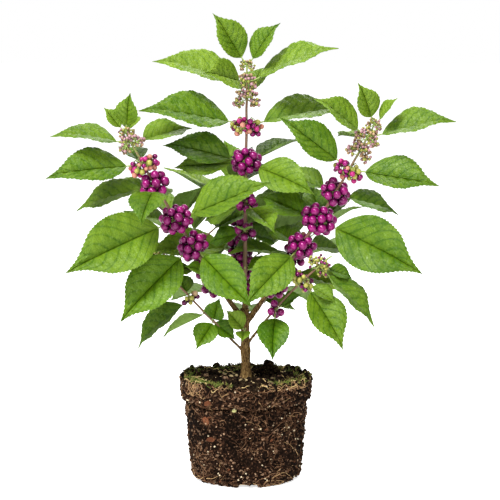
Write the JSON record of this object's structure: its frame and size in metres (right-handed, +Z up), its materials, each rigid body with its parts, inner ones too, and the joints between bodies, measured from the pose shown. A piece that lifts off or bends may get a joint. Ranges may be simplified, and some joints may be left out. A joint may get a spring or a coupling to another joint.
{
  "type": "beautyberry shrub",
  "caption": "Young leafy shrub with opposite toothed leaves and ring clusters of purple berries along its shoots, standing on a bare pot-shaped root ball.",
  "frame": {"origin": "centre of the root ball's flat underside, where it stands", "axes": "+Z up along the stem, -Y towards the side that the fruit shows best from, +X to the right of that side"},
  "size_m": [0.3016, 0.2076, 0.3555],
  "materials": {
    "soil": "dark moist potting soil bound by fine tan roots",
    "bark": "brown young bark, matt",
    "foliage": "soft mid-green leaves, satin, with magenta-purple berries"
  },
  "bodies": {
    "root": {"root_ball": "soil", "trunk": "bark", "left_bough": "bark", "right_bough": "bark", "centre_bough": "bark", "low_left_bough": "bark", "low_right_bough": "bark", "back_bough": "bark", "back_left_bough": "bark", "back_right_bough": "bark", "low_back_bough": "bark", "left_mass": "foliage", "right_mass": "foliage", "centre_mass": "foliage", "low_left_mass": "foliage", "low_right_mass": "foliage", "back_mass": "foliage", "back_left_mass": "foliage", "back_right_mass": "foliage", "low_back_mass": "foliage", "sprout_mass": "foliage"}
  },
  "joints": []
}
